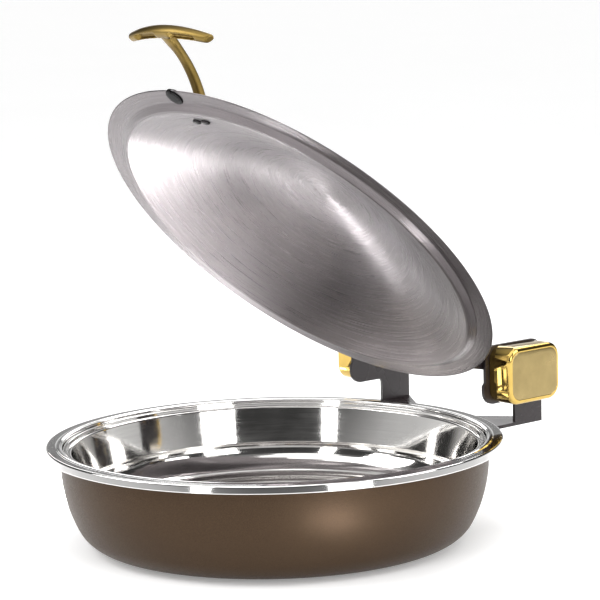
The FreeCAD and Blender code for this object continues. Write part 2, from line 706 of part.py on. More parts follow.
def check_and_write():
    """Stop on any failed object or bad shape, then write one STEP file for each node."""
    doc.recompute()
    for thing in doc.Objects:
        if "Invalid" in thing.State or "Error" in thing.State:
            raise RuntimeError("%s failed: %s" % (thing.Name, thing.State))
    for thing in nodes:
        if thing.Shape.isNull() or not thing.Shape.isValid():
            raise RuntimeError("%s has no valid shape" % thing.Label)
    os.makedirs("parts", exist_ok=True)
    for thing in nodes:
        thing.Shape.exportStep("parts/%s.step" % thing.Label)
        print("%-22s %2d solid(s) %10.0f mm3" % (thing.Label, len(thing.Shape.Solids), thing.Shape.Volume))


build()
check_and_write()
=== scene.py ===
"""Round chafer with a rear-hinged lid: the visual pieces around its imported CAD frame."""

import json
import math

import bmesh
import bpy
from mathutils import Matrix, Vector


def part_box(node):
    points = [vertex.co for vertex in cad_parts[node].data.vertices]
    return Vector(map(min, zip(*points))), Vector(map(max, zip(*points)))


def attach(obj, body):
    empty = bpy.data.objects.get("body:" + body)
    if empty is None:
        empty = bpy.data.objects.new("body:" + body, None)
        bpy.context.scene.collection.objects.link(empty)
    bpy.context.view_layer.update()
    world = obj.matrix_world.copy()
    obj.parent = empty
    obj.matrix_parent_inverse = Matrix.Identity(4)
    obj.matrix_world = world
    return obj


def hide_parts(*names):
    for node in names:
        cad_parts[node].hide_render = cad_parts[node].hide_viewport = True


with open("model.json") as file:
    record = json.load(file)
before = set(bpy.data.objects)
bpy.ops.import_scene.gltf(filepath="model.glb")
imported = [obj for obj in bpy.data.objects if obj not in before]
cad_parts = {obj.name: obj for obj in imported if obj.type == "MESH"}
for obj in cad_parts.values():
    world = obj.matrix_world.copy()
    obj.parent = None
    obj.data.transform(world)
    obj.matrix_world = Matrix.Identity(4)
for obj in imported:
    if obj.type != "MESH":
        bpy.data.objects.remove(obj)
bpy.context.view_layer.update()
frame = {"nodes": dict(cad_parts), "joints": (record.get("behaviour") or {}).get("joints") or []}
MM = 0.001
SEGMENTS = 256          # steps round each turned piece

# ------------------------------------------------------------------ places from the frame
HINGE = next(joint for joint in frame["joints"] if joint["name"] == "lid_hinge")
PIVOT = Vector(HINGE["pos_m"])
LID_OPEN = math.radians(-HINGE["range_deg"][0])
SHEET = 1.0 * MM                                   # pressed steel
RIDGE = 0.57                                       # rise of the rim's ridge over its flat
RIM_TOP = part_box("rim_ring")[1].z - RIDGE * MM
LID_PLANE = RIM_TOP + 2.3 * MM                     # flange's underside when the lid is closed
LID_PLACE = (Matrix.Translation(PIVOT) @ Matrix.Rotation(-LID_OPEN, 4, "X")
             @ Matrix.Translation(Vector((0, 0, LID_PLANE)) - PIVOT))


# ------------------------------------------------------------------ mesh helpers
def finish_mesh(name, build, place=None, sharp=35):
    """Make an object from a bmesh, its mesh moved by place, smooth up to an angle of sharp."""
    bmesh.ops.recalc_face_normals(build, faces=build.faces)
    limit = math.radians(sharp)
    for face in build.faces:
        face.smooth = True
    for edge in build.edges:
        edge.smooth = len(edge.link_faces) == 2 and edge.calc_face_angle(0) < limit
    mesh = bpy.data.meshes.new(name)
    build.to_mesh(mesh)
    build.free()
    piece = bpy.data.objects.new(name, mesh)
    bpy.context.scene.collection.objects.link(piece)
    if place is not None:
        mesh.transform(place)
    return piece


def arc(centre, radius, start, end, steps):
    """Points on a circle in the profile plane; angles in degrees from the +r axis."""
    angles = [math.radians(start + (end - start) * i / steps) for i in range(steps + 1)]
    return [(centre[0] + radius * math.cos(a), centre[1] + radius * math.sin(a)) for a in angles]


def filleted(corners, steps=6):
    """Open polyline of (r, z, fillet radius) with each inner corner rounded."""
    points = [Vector(corners[0][:2])]
    for before, corner, after in zip(corners, corners[1:], corners[2:]):
        at, radius = Vector(corner[:2]), corner[2]
        to_first = (Vector(before[:2]) - at).normalized()
        to_last = (Vector(after[:2]) - at).normalized()
        half = to_first.angle(to_last) / 2
        if radius <= 0 or half > math.radians(89.5):
            points.append(at)
            continue
        reach = radius / math.tan(half)
        centre = at + (to_first + to_last).normalized() * radius / math.sin(half)
        first, last = at + to_first * reach - centre, at + to_last * reach - centre
        for i in range(steps + 1):
            mix = first.lerp(last, i / steps).normalized() * radius
            points.append(centre + mix)
    points.append(Vector(corners[-1][:2]))
    return [tuple(p) for p in points]


def thickened(path, thickness, edge_steps=4):
    """Closed strip: the path, a rounded edge, and the path moved by its thickness to the left."""
    points = [Vector(p) for p in path]
    moved = []
    for i, point in enumerate(points):
        ahead = points[min(i + 1, len(points) - 1)] - point
        behind = point - points[max(i - 1, 0)]
        tangents = [t.normalized() for t in (ahead, behind) if t.length > 1e-9]
        tangent = sum(tangents, Vector((0, 0))).normalized()
        bend = tangents[0].dot(tangent)
        moved.append(point + Vector((-tangent.y, tangent.x)) * thickness / max(bend, 0.5))
    def cap(last, first, outward):
        middle, half = (last + first) / 2, (first - last) / 2
        turns = [math.pi * k / edge_steps for k in range(1, edge_steps)]
        return [middle - half * math.cos(t) + outward * half.length * math.sin(t) for t in turns]
    end_out = (points[-1] - points[-2]).normalized()
    start_out = (points[0] - points[1]).normalized()
    loop = points + cap(points[-1], moved[-1], end_out) + moved[::-1]
    if points[0].x > 1e-6:
        loop += cap(moved[0], points[0], start_out)
    return [tuple(p) for p in loop]


def supported(profile, closed, near=0.0003):
    """The profile with a point near each end of its long straights, so that flats shade flat."""
    points = []
    ends = profile[1:] + (profile[:1] if closed else [])
    for i, first in enumerate(profile):
        points.append(first)
        if i < len(ends):
            a, b = Vector(first), Vector(ends[i])
            if (b - a).length > 4 * near:
                step = (b - a).normalized() * near
                points += [tuple(a + step), tuple(b - step)]
    return points


def lathe(name, profile, closed, place=None, segments=SEGMENTS):
    """Turn a profile of (r, z) about Z; points on the axis become poles."""
    profile = supported(profile, closed)
    build = bmesh.new()
    rings = []
    for r, z in profile:
        if r < 1e-6:
            rings.append([build.verts.new((0, 0, z))])
            continue
        rings.append([build.verts.new((r * math.cos(2 * math.pi * i / segments),
                                       r * math.sin(2 * math.pi * i / segments), z))
                      for i in range(segments)])
    pairs = list(zip(rings, rings[1:])) + ([(rings[-1], rings[0])] if closed else [])
    for low, high in pairs:
        if len(low) == 1 and len(high) == 1:
            continue
        for i in range(segments):
            j = (i + 1) % segments
            corners = [low[i % len(low)], low[j % len(low)],
                       high[j % len(high)], high[i % len(high)]]
            unique = list(dict.fromkeys(corners))
            build.faces.new(unique)
    return finish_mesh(name, build, place)


def loft(build, sections):
    """Skin closed sections of equal length, with flat ends."""
    loops = [[build.verts.new(point) for point in section] for section in sections]
    for low, high in zip(loops, loops[1:]):
        for i in range(len(low)):
            j = (i + 1) % len(low)
            build.faces.new((low[i], low[j], high[j], high[i]))
    build.faces.new(loops[0][::-1])
    build.faces.new(loops[-1])


def evaluated(piece, name, smooth=True):
    """The piece with its modifiers applied, as a fresh object in the same place."""
    bpy.context.view_layer.update()
    graph = bpy.context.evaluated_depsgraph_get()
    mesh = bpy.data.meshes.new_from_object(piece.evaluated_get(graph))
    place = piece.matrix_world.copy()
    bpy.data.objects.remove(piece)
    mesh.name = name
    for face in mesh.polygons:
        face.use_smooth = smooth
    result = bpy.data.objects.new(name, mesh)
    bpy.context.scene.collection.objects.link(result)
    result.matrix_world = place
    return result


def softened(node, name, width, angle=30):
    """A copy of a CAD node's mesh with its flat faces joined and its edges rounded off."""
    build = bmesh.new()
    build.from_mesh(frame["nodes"][node].data)
    bmesh.ops.remove_doubles(build, verts=build.verts, dist=2e-6)
    bmesh.ops.dissolve_limit(build, angle_limit=math.radians(0.6), verts=build.verts,
                             edges=build.edges, delimit=set())
    piece = finish_mesh(name + "_raw", build)
    bevel = piece.modifiers.new("Edges", "BEVEL")
    bevel.width = width
    bevel.segments = 3
    bevel.limit_method = "ANGLE"
    bevel.angle_limit = math.radians(angle)
    bevel.use_clamp_overlap = True
    bevel.harden_normals = False
    piece = evaluated(piece, name)
    again = bmesh.new()
    again.from_mesh(piece.data)
    for edge in again.edges:
        turn = math.degrees(edge.calc_face_angle(0)) if len(edge.link_faces) == 2 else 180
        wide = max(face.calc_area() for face in edge.link_faces) > 4e-6
        edge.smooth = turn < (12 if wide else 32)
    again.to_mesh(piece.data)
    again.free()
    return piece


def place_piece(piece, body, material, slot, *nodes):
    """Give a piece its body and material, and hide the CAD nodes that it stands for; slot is not
    used.
    """
    if material is not None:
        piece.data.materials.clear()
        piece.data.materials.append(material)
    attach(piece, body)
    if nodes:
        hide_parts(*nodes)
    return piece


# ------------------------------------------------------------------ material helpers
class Nodes:
    """Wires one Principled material."""

    def __init__(self, name):
        self.material = bpy.data.materials.new(name)
        self.material.use_nodes = True
        self.tree = self.material.node_tree
        self.tree.nodes.clear()
        self.shader = self.add("ShaderNodeBsdfPrincipled")
        out = self.add("ShaderNodeOutputMaterial")
        self.link(self.shader.outputs[0], out.inputs["Surface"])
        self.place = self.add("ShaderNodeTexCoord").outputs["Object"]

    def add(self, kind, **settings):
        node = self.tree.nodes.new(kind)
        for key, value in settings.items():
            setattr(node, key, value)
        return node

    def link(self, source, target):
        self.tree.links.new(source, target)

    def put(self, target, value):
        """Set an input to a number or wire an output to it."""
        if isinstance(value, bpy.types.NodeSocket):
            self.link(value, target)
        else:
            target.default_value = value

    def math(self, operation, *values):
        node = self.add("ShaderNodeMath", operation=operation)
        for socket, value in zip(node.inputs, values):
            self.put(socket, value)
        return node.outputs[0]

    def noise(self, scale, detail=3, roughness=0.5, vector=None, stretch=None):
        source = self.place if vector is None else vector
        if stretch is not None:
            mapping = self.add("ShaderNodeMapping")
            self.link(source, mapping.inputs["Vector"])
            mapping.inputs["Scale"].default_value = stretch
            source = mapping.outputs[0]
        node = self.add("ShaderNodeTexNoise")
        self.link(source, node.inputs["Vector"])
        node.inputs["Scale"].default_value = scale
        node.inputs["Detail"].default_value = detail
        node.inputs["Roughness"].default_value = roughness
        return node.outputs["Fac"]

    def span(self, value, low, high, from_low=0.0, from_high=1.0):
        node = self.add("ShaderNodeMapRange")
        self.put(node.inputs["Value"], value)
        node.inputs["From Min"].default_value = from_low
        node.inputs["From Max"].default_value = from_high
        node.inputs["To Min"].default_value = low
        node.inputs["To Max"].default_value = high
        return node.outputs[0]

    def blend(self, factor, first, second):
        node = self.add("ShaderNodeMix", data_type="RGBA")
        self.put(node.inputs[0], factor)
        for socket, value in ((node.inputs[6], first), (node.inputs[7], second)):
            self.put(socket, (*value, 1) if isinstance(value, tuple) else value)
        return node.outputs[2]

    def bump(self, height, strength, distance):
        node = self.add("ShaderNodeBump")
        self.link(height, node.inputs["Height"])
        node.inputs["Strength"].default_value = strength
        node.inputs["Distance"].default_value = distance
        return node.outputs[0]

    def around(self, fine, slow):
        """Coordinates that run fast outwards and slowly round the Z axis."""
        split = self.add("ShaderNodeSeparateXYZ")
        self.link(self.place, split.inputs[0])
        x, y = split.outputs[0], split.outputs[1]
        radius = self.math("SQRT", self.math("ADD", self.math("MULTIPLY", x, x),
                                             self.math("MULTIPLY", y, y)))
        safe = self.math("MAXIMUM", radius, 1e-4)
        join = self.add("ShaderNodeCombineXYZ")
        self.link(self.math("MULTIPLY", self.math("DIVIDE", x, safe), slow), join.inputs[0])
        self.link(self.math("MULTIPLY", self.math("DIVIDE", y, safe), slow), join.inputs[1])
        self.link(self.math("MULTIPLY", radius, fine), join.inputs[2])
        return join.outputs[0]

    def surface(self, **values):
        """Set the shader's sockets by name, with _ for a space."""
        for key, value in values.items():
            socket = self.shader.inputs[key.replace("_", " ")]
            self.put(socket, (*value, 1) if isinstance(value, tuple) and len(value) == 3 else value)
        return self.material


def coated_bronze():
    """Satin brown coat with fine metal flakes and a faint cloudiness."""
    n = Nodes("coated_bronze")
    flakes = n.noise(2600, 2, 0.6)
    grain = n.noise(700, 3, 0.6)
    cloud = n.noise(9, 3, 0.5)
    shade = n.blend(n.span(flakes, 0, 1, 0.35, 0.7), (0.036, 0.0215, 0.0125), (0.092, 0.058, 0.033))
    shade = n.blend(n.span(cloud, 0, 0.35), shade, (0.047, 0.029, 0.0165))
    return n.surface(Base_Color=shade, Metallic=0.62, Specular_IOR_Level=0.2,
                     Roughness=n.span(grain, 0.36, 0.50, 0.3, 0.7), IOR=1.5,
                     Normal=n.bump(grain, 0.22, 0.00012))


def mirror_steel(name, tint=(0.83, 0.82, 0.81), fine=2600.0, low=0.035, high=0.085):
    """Polished stainless steel with the faint turning marks and haze that polishing leaves."""
    n = Nodes(name)
    lines = n.around(fine, 3.0)
    streak = n.noise(1.0, 3, 0.6, lines)
    haze = n.noise(38, 4, 0.6)
    mixed = n.math("ADD", n.math("MULTIPLY", streak, 0.5), n.math("MULTIPLY", haze, 0.5))
    wear = tuple(c * 0.93 for c in tint)
    return n.surface(Base_Color=n.blend(n.span(mixed, 0, 1, 0.35, 0.65), tint, wear), Metallic=1.0,
                     Roughness=n.span(mixed, low, high, 0.35, 0.65),
                     Normal=n.bump(streak, 0.05, 0.00002))


def brushed_steel(name, tint, rough=(0.26, 0.40), anisotropy=0.82, fine=2300.0):
    """Circular brushed stainless steel: grooves run round the lid's own axis."""
    n = Nodes(name)
    lines = n.around(fine, 1.6)
    streak = n.noise(1.0, 4, 0.65, lines)
    wide_lines = n.around(fine * 0.12, 2.4)
    wide = n.noise(1.0, 3, 0.6, wide_lines)
    cloud = n.noise(7, 3, 0.55)
    mixed = n.math("ADD", n.math("MULTIPLY", streak, 0.6), n.math("MULTIPLY", wide, 0.4))
    dark = tuple(c * 0.80 for c in tint)
    shade = n.blend(n.span(mixed, 0, 1, 0.36, 0.64), tint, dark)
    shade = n.blend(n.span(cloud, 0, 0.25), shade, tuple(c * 0.88 for c in tint))
    tangent = n.add("ShaderNodeTangent", direction_type="RADIAL", axis="Z")
    return n.surface(Base_Color=shade, Metallic=1.0, Roughness=n.span(mixed, *rough, 0.36, 0.64),
                     Anisotropic=anisotropy, Anisotropic_Rotation=0.25, Tangent=tangent.outputs[0],
                     Normal=n.bump(streak, 0.06, 0.00002))


def gold(name, tint, low, high, bump=0.04, scale=900):
    """Plated gold with a trace of polishing haze."""
    n = Nodes(name)
    haze = n.noise(60, 4, 0.6)
    fine = n.noise(scale, 3, 0.6)
    dark = tuple(c * 0.86 for c in tint)
    return n.surface(Base_Color=n.blend(n.span(haze, 0, 1, 0.35, 0.65), tint, dark), Metallic=1.0,
                     Roughness=n.span(haze, low, high, 0.3, 0.7),
                     Normal=n.bump(fine, bump, 0.00004))


def cast_brass():
    """Satin cast brass, slightly uneven, darker in its hollows."""
    n = Nodes("cast_brass")
    cast = n.noise(320, 4, 0.6)
    patch = n.noise(42, 4, 0.6)
    cavity = n.add("ShaderNodeNewGeometry").outputs["Pointiness"]
    shade = n.blend(n.span(patch, 0, 1, 0.3, 0.7), (0.235, 0.162, 0.050), (0.18, 0.122, 0.034))
    # Darker colour where the surface is hollow, read from the mesh's pointiness.
    shade = n.blend(n.span(cavity, 0.8, 0.0, 0.40, 0.50), shade, (0.12, 0.07, 0.018))
    return n.surface(Base_Color=shade, Metallic=1.0, Roughness=n.span(patch, 0.30, 0.36, 0.3, 0.7),
                     Normal=n.bump(cast, 0.08, 0.00006))


def dark_coat(name, tint, low, high, grain_scale=1500, bump=0.25, metallic=0.0, specular=0.5):
    """Semi-gloss dark coat with a fine leathery grain."""
    n = Nodes(name)
    grain = n.noise(grain_scale, 3, 0.6)
    cloud = n.noise(26, 3, 0.6)
    light = tuple(c * 1.5 for c in tint)
    return n.surface(Base_Color=n.blend(n.span(cloud, 0, 1, 0.3, 0.7), tint, light),
                     Metallic=metallic, Roughness=n.span(cloud, low, high, 0.3, 0.7),
                     Specular_IOR_Level=specular,
                     Normal=n.bump(grain, bump, 0.00006))


def plain_metal(name, tint, low, high, scale=400):
    """Turned or plated hardware."""
    n = Nodes(name)
    marks = n.noise(scale, 4, 0.6, stretch=(1, 1, 7))
    dark = tuple(c * 0.75 for c in tint)
    return n.surface(Base_Color=n.blend(n.span(marks, 0, 1, 0.3, 0.7), tint, dark), Metallic=1.0,
                     Roughness=n.span(marks, low, high, 0.3, 0.7),
                     Normal=n.bump(marks, 0.08, 0.00005))


BRONZE = coated_bronze()
MIRROR = mirror_steel("mirror_steel")
PAN_MIRROR = mirror_steel("pan_mirror", (0.80, 0.785, 0.765), 2200.0, 0.045, 0.11)
BRUSHED_OUTSIDE = brushed_steel("brushed_outside", (0.47, 0.45, 0.445))
# The lid's inside is the same steel as its outside with a far darker tint: painted shade.
SHADED_BRUSHED_INSIDE = brushed_steel("brushed_inside_painted_shade", (0.185, 0.168, 0.173), (0.24, 0.34), 0.85, 3400.0)
TURNED = brushed_steel("turned_base", (0.50, 0.49, 0.48), (0.3, 0.45), 0.7, 900.0)
GOLD = gold("polished_gold", (0.61, 0.42, 0.115), 0.04, 0.07, 0.012)
GOLD_FACE = gold("satin_gold", (0.34, 0.26, 0.115), 0.27, 0.33, 0.05, 1400)
BRASS = cast_brass()
BLACK = dark_coat("hinge_coat", (0.017, 0.0125, 0.0135), 0.24, 0.34, 1500, 0.12, 0.0, 0.36)
RUBBER = dark_coat("bumper_rubber", (0.003, 0.0026, 0.0028), 0.20, 0.30, 1100, 0.05, 0.0, 0.06)
GASKET = dark_coat("gasket_rubber", (0.025, 0.025, 0.026), 0.55, 0.75, 1900, 0.4)
DARK_STEEL = dark_coat("blackened_steel", (0.020, 0.018, 0.018), 0.14, 0.24, 1300, 0.1, 0.6)
ZINC = plain_metal("bright_zinc", (0.60, 0.60, 0.58), 0.22, 0.40)
BEARING = plain_metal("bearing_bronze", (0.58, 0.37, 0.17), 0.28, 0.42)
FIBRE = dark_coat("pressed_fibre", (0.10, 0.078, 0.055), 0.7, 0.9, 2400, 0.6)


# ------------------------------------------------------------------ body, rim, base, pan
# Profiles are in millimetres until mm() turns them into metres.
def mm(points):
    return [tuple(value * MM for value in point) for point in points]


def body_bowl():
    """Deep-drawn outer bowl with a soft heel and a swelling side."""
    belly, heel, turn, outer, base = 120.0, 30.0, 27.7, 183.2, 2.0
    across = outer - belly
    apart, slant = belly - heel, math.radians(turn)
    side_centre = (across, base + heel + math.sin(slant) * apart)
    heel_centre = (across + math.cos(slant) * apart, base + heel)
    path = [(0.0, base)] + [(r, base) for r in range(20, 136, 12)]
    path += arc(heel_centre, heel, -90, -turn, 18)
    path += arc(side_centre, belly, -turn, 0, 30)[1:]
    top = RIM_TOP / MM - 1.6
    path += [(outer, side_centre[1] + (top - side_centre[1]) * k / 4) for k in range(1, 5)]
    bowl = lathe("body_bowl", mm(thickened(path, 1.0)), False)
    return place_piece(bowl, "base", BRONZE, "coated_body", "water_pan")


def rim():
    """Rolled rim: leaning skirt, flat top with a raised ridge, lip and ledge."""
    top = RIM_TOP / MM
    ridge = top + RIDGE
    path = filleted([(196.3, top - 6.0, 0), (195.0, top, 1.7), (187.2, top, 1.2),
                     (186.0, ridge - 0.06, 1.4), (184.7, ridge, 3.0), (183.4, ridge - 0.06, 1.4),
                     (182.6, top - 0.05, 0.6), (181.2, top - 0.2, 1.3), (181.2, top - 5.0, 0.7),
                     (178.0, top - 5.0, 0)], 7)
    ring = lathe("rim_ring_polished", mm(thickened(path, 1.0)), True)
    return place_piece(ring, "base", MIRROR, "polished_steel", "rim_ring")


def base_plate():
    """Induction disc with a chamfered edge and shallow turned rings."""
    corners = [(0, 0.25, 0)]
    for ring in range(24, 130, 15):
        corners += [(ring - 1.2, 0.25, 0.4), (ring, 0.0, 0.6), (ring + 1.2, 0.25, 0.4)]
    corners += [(134.5, 0.0, 0.8), (138.6, 0.0, 0.5), (139.0, 0.5, 0.3), (139.0, 1.95, 0.3),
                (0, 1.95, 0)]
    disc = lathe("induction_disc", mm(filleted(corners, 3)), False)
    return place_piece(disc, "base", TURNED, "induction_steel", "base_disc")


def pan():
    """Food pan: rolled bead, inner ring, drawn wall, soft corner and a flat floor."""
    top = RIM_TOP / MM
    floor = top - 65.0
    path = [(0.0, floor)] + [(r, floor) for r in range(14, 139, 12)]
    path += arc((139.0, floor + 28), 28, -90, 0, 24)
    wall = filleted([(167.0, floor + 28, 0), (173.75, top - 5.4, 1.7), (176.6, top - 5.4, 0.6),
                     (177.1, top - 2.4, 0.8), (180.85, top - 2.4, 1.5), (180.85, top - 4.1, 0)], 8)
    path += wall[1:]
    shell = lathe("food_pan_polished", mm(thickened(path, -0.95)), False)
    return place_piece(shell, "food_pan", PAN_MIRROR, "polished_steel", "food_pan")


# ------------------------------------------------------------------ lid
SLOPE = math.radians(24.5)                         # straight side of the dome
CROWN = 209.0                                      # radius of the round top
EDGE, STEP = 167.5, 4.0                            # where the side starts: radius, drop from flange
BAR_ALONG, BAR_RISE = 226.5, 32.0                  # crossbar's middle, in the lid's own frame
RELIEF_DEPTH = 3.6                                 # hollow under each half of the crossbar
END_SLANT = 0.55                                   # lean of the crossbar's end faces
CLIP_HALF = 0.32                                   # half thickness of the bumper's clip
FOOT_ALONG = 148.0                                 # handle's foot, on the straight side
FOOT_RISE = (EDGE - FOOT_ALONG) * math.tan(SLOPE) - STEP


def lid():
    """Spun lid: flat flange with a rolled edge, sloping step, straight side and round crown."""
    turn_r = CROWN * math.sin(SLOPE)
    turn_z = (EDGE - turn_r) * math.tan(SLOPE) - STEP
    flat = filleted([(190.0, 0.0, 0), (175.5, 0.0, 1.6), (169.7, -STEP, 1.6), (EDGE, -STEP, 0.9),
                     (turn_r, turn_z, 0)], 6)
    along = [167.0 + (turn_r - 167.0) * k / 14 for k in range(1, 14)]
    side = [(r, (EDGE - r) * math.tan(SLOPE) - STEP) for r in along]
    centre = (0.0, turn_z - CROWN * math.cos(SLOPE))
    crown = arc(centre, CROWN, 90 - math.degrees(SLOPE), 90, 22)
    crown[-1] = (0.0, crown[-1][1])
    path = flat[:-1] + side + crown
    shell = lathe("lid_dome", mm(thickened(path, -0.98)), False)
    shell.data.materials.append(BRUSHED_OUTSIDE)
    shell.data.materials.append(SHADED_BRUSHED_INSIDE)
    # Faces that look down get the darker inside tint, which is painted shade.
    for face in shell.data.polygons:
        face.material_index = 1 if face.normal.z < 0 else 0
    shell.matrix_world = LID_PLACE
    return place_piece(shell, "lid", None, "brushed_lid", "lid_shell")


def superellipse(width, height, power, steps):
    """Closed outline, half width by half height."""
    points = []
    for i in range(steps):
        turn = 2 * math.pi * i / steps
        c, s = math.cos(turn), math.sin(turn)
        points.append((width * math.copysign(abs(c) ** (2 / power), c),
                       height * math.copysign(abs(s) ** (2 / power), s)))
    return points


def clamped(value):
    """The value, held between 0 and 1."""
    return max(0.0, min(1.0, value))


def handle():
    """Cast tee handle: tapered bowed crossbar with relieved underside, bent stem and foot."""
    build = bmesh.new()
    bow, half_turn = 160.0, math.radians(18.3)         # crossbar: radius and half angle
    sections = []
    for k in range(-48, 49):
        s = k / 48
        turn = s * half_turn
        at = Vector((bow * math.sin(turn), bow - BAR_ALONG - bow * math.cos(turn), BAR_RISE))
        out = Vector((math.sin(turn), -math.cos(turn), 0))
        slant = END_SLANT * max(0.0, abs(s) - 0.86) / 0.14
        lean = out.cross(Vector((0, 0, 1))) * math.copysign(slant, -s)
        end = max(0.0, (abs(s) - 0.955) / 0.045)
        taper = 1 - 0.16 * end ** 3
        tall = (5.2 - 1.5 * abs(s) ** 1.8) * taper
        deep = (5.1 - 1.5 * abs(s) ** 1.8) * taper
        hollow = RELIEF_DEPTH * clamped((abs(s) - 0.16) / 0.04) * clamped((0.74 - abs(s)) / 0.05)
        ring = []
        for w, h in superellipse(deep, tall, 2.5, 52):
            dip = hollow if h < -0.3 * tall and abs(w) < 0.62 * deep else 0.0
            ring.append((at + out * w + (Vector((0, 0, 1)) + lean) * (h + dip)) * MM)
        sections.append(ring)
    loft(build, sections)
    curve, bend = 108.0, math.radians(37.0)            # stem: radius and angle of its curve
    level, start = BAR_RISE - 0.8, 214.0
    sections = []
    for k in range(-6, 31):
        t = k / 30
        if t < 0:
            at = Vector((0, -start + t * 50, level))
            out = Vector((0, 0, 1))
        else:
            turn = t * bend
            at = Vector((0, -start + curve * math.sin(turn), level - curve * (1 - math.cos(turn))))
            out = Vector((0, math.sin(turn), math.cos(turn)))
        grow = max(t, 0.0)
        flare = max(0.0, 1 - grow / 0.24) ** 2
        wide, thick = 4.3 + 0.9 * grow + 1.5 * flare, 3.4 + 0.5 * grow + 0.4 * flare
        sections.append([(at + Vector((1, 0, 0)) * w + out * h) * MM
                         for w, h in superellipse(wide, thick, 2.8, 40)])
    loft(build, sections)
    tilt = Matrix.Rotation(SLOPE, 3, "X")
    spot = Vector((0, -FOOT_ALONG, FOOT_RISE + 1.0 / math.cos(SLOPE) + 0.05))
    sections = []
    for rise_up, inset in ((1.05, 0.3), (1.5, 0.0), (3.4, 0.0), (4.6, 0.7), (5.0, 1.7)):
        sections.append([(spot + tilt @ Vector((w, h, rise_up))) * MM
                         for w, h in superellipse(13.4 - inset, 8.4 - inset, 3.4, 56)])
    loft(build, sections)
    raw = finish_mesh("handle_raw", build, LID_PLACE)
    remesh = raw.modifiers.new("Cast", "REMESH")
    remesh.mode = "VOXEL"
    remesh.voxel_size = 0.55 * MM
    soften = raw.modifiers.new("Fettle", "SMOOTH")
    soften.factor = 0.5
    soften.iterations = 5
    piece = evaluated(raw, "tee_handle")
    return place_piece(piece, "lid", BRASS, "brass_handle", "lid_handle")


def screw(name, radius, height, place):
    """Pan head with a rounded rim and a cross recess, standing on its own z = 0."""
    build = bmesh.new()
    steps, rings = 48, []
    crown = [(1.0, 0.0), (1.0, 0.35), (0.95, 0.62), (0.82, 0.84), (0.6, 0.97), (0.34, 1.0)]
    for r, z in crown:
        rings.append([build.verts.new((radius * r * math.cos(2 * math.pi * i / steps),
                                       radius * r * math.sin(2 * math.pi * i / steps), height * z))
                      for i in range(steps)])
    for low, high in zip(rings, rings[1:]):
        for i in range(steps):
            j = (i + 1) % steps
            build.faces.new((low[i], low[j], high[j], high[i]))
    build.faces.new(rings[0][::-1])
    build.faces.new(rings[-1])
    head = finish_mesh(name + "_raw", build, place, 50)
    cutter = bmesh.new()
    for turn in (0, math.pi / 2):
        spin = Matrix.Rotation(turn, 4, "Z")
        long, thin, deep = radius * 0.62, radius * 0.13, height * 0.5
        corners = [(-long, -thin), (long, -thin), (long, thin), (-long, thin)]
        loft(cutter, [[spin @ Vector((x * f, y * f, z)) for x, y in corners]
                      for z, f in ((height - deep, 0.55), (height * 1.4, 1.1))])
    tool = finish_mesh(name + "_tool", cutter, place)
    cut = head.modifiers.new("Recess", "BOOLEAN")
    cut.operation = "DIFFERENCE"
    cut.solver = "EXACT"
    cut.use_self = True
    cut.object = tool
    piece = evaluated(head, name, False)
    bpy.data.objects.remove(tool)
    return piece


def joined(name, pieces):
    """Several meshes as one piece, in the row frame."""
    build = bmesh.new()
    for piece in pieces:
        mesh = piece.data.copy()
        mesh.transform(piece.matrix_world)
        build.from_mesh(mesh)
        bpy.data.objects.remove(piece)
    return finish_mesh(name, build, None, 40)


def handle_fixings():
    """Two pan-head screws on the lid's inside, below the handle's foot."""
    spot = Vector((0, -FOOT_ALONG, FOOT_RISE)) * MM
    tilt = Matrix.Rotation(SLOPE, 4, "X")
    flip = Matrix.Rotation(math.pi, 4, "X")
    heads = []
    for side in (-1, 1):
        offset = Matrix.Translation((side * 5.3 * MM, 0, -0.12 * MM))
        at = LID_PLACE @ Matrix.Translation(spot) @ tilt @ offset
        heads.append(screw("head_%d" % side, 3.9 * MM, 2.6 * MM, at @ flip))
    place_piece(joined("handle_screw_heads", heads), "lid", DARK_STEEL, "dark_screws",
                "handle_screws")


def bumper():
    """Domed rubber button under the front of the flange, with a clip bent over the edge."""
    profile = filleted([(0, -1.35, 0), (5.0, -1.3, 3.0), (7.9, -0.9, 1.0), (8.5, -0.02, 0.2),
                        (0, -0.02, 0)], 5)
    spot = LID_PLACE @ Matrix.Translation(Vector((0, -182.7, 0)) * MM)
    button = lathe("button", mm(profile), False, spot, 72)
    build = bmesh.new()
    rail = filleted([(180.2, 1.15, 0), (182.6, 3.9, 1.6), (187.2, 3.9, 2.0), (190.9, 1.5, 1.4),
                     (191.2, -0.9, 0.6), (188.6, -1.15, 0)], 6)
    sections = []
    for i, (a, z) in enumerate(rail):
        before, after = rail[max(i - 1, 0)], rail[min(i + 1, len(rail) - 1)]
        step = Vector((0, -(after[0] - before[0]), after[1] - before[1])).normalized()
        normal = step.cross(Vector((1, 0, 0)))
        wide = 2.5 - 0.4 * abs(i / (len(rail) - 1) - 0.5)
        sections.append([(Vector((0, -a, z)) + Vector((1, 0, 0)) * w + normal * h) * MM
                         for w, h in superellipse(wide, CLIP_HALF, 3.2, 24)])
    loft(build, sections)
    clip = finish_mesh("clip", build, LID_PLACE, 60)
    place_piece(joined("edge_bumper", [button, clip]), "lid", RUBBER, "bumper_rubber", "lid_bumper")


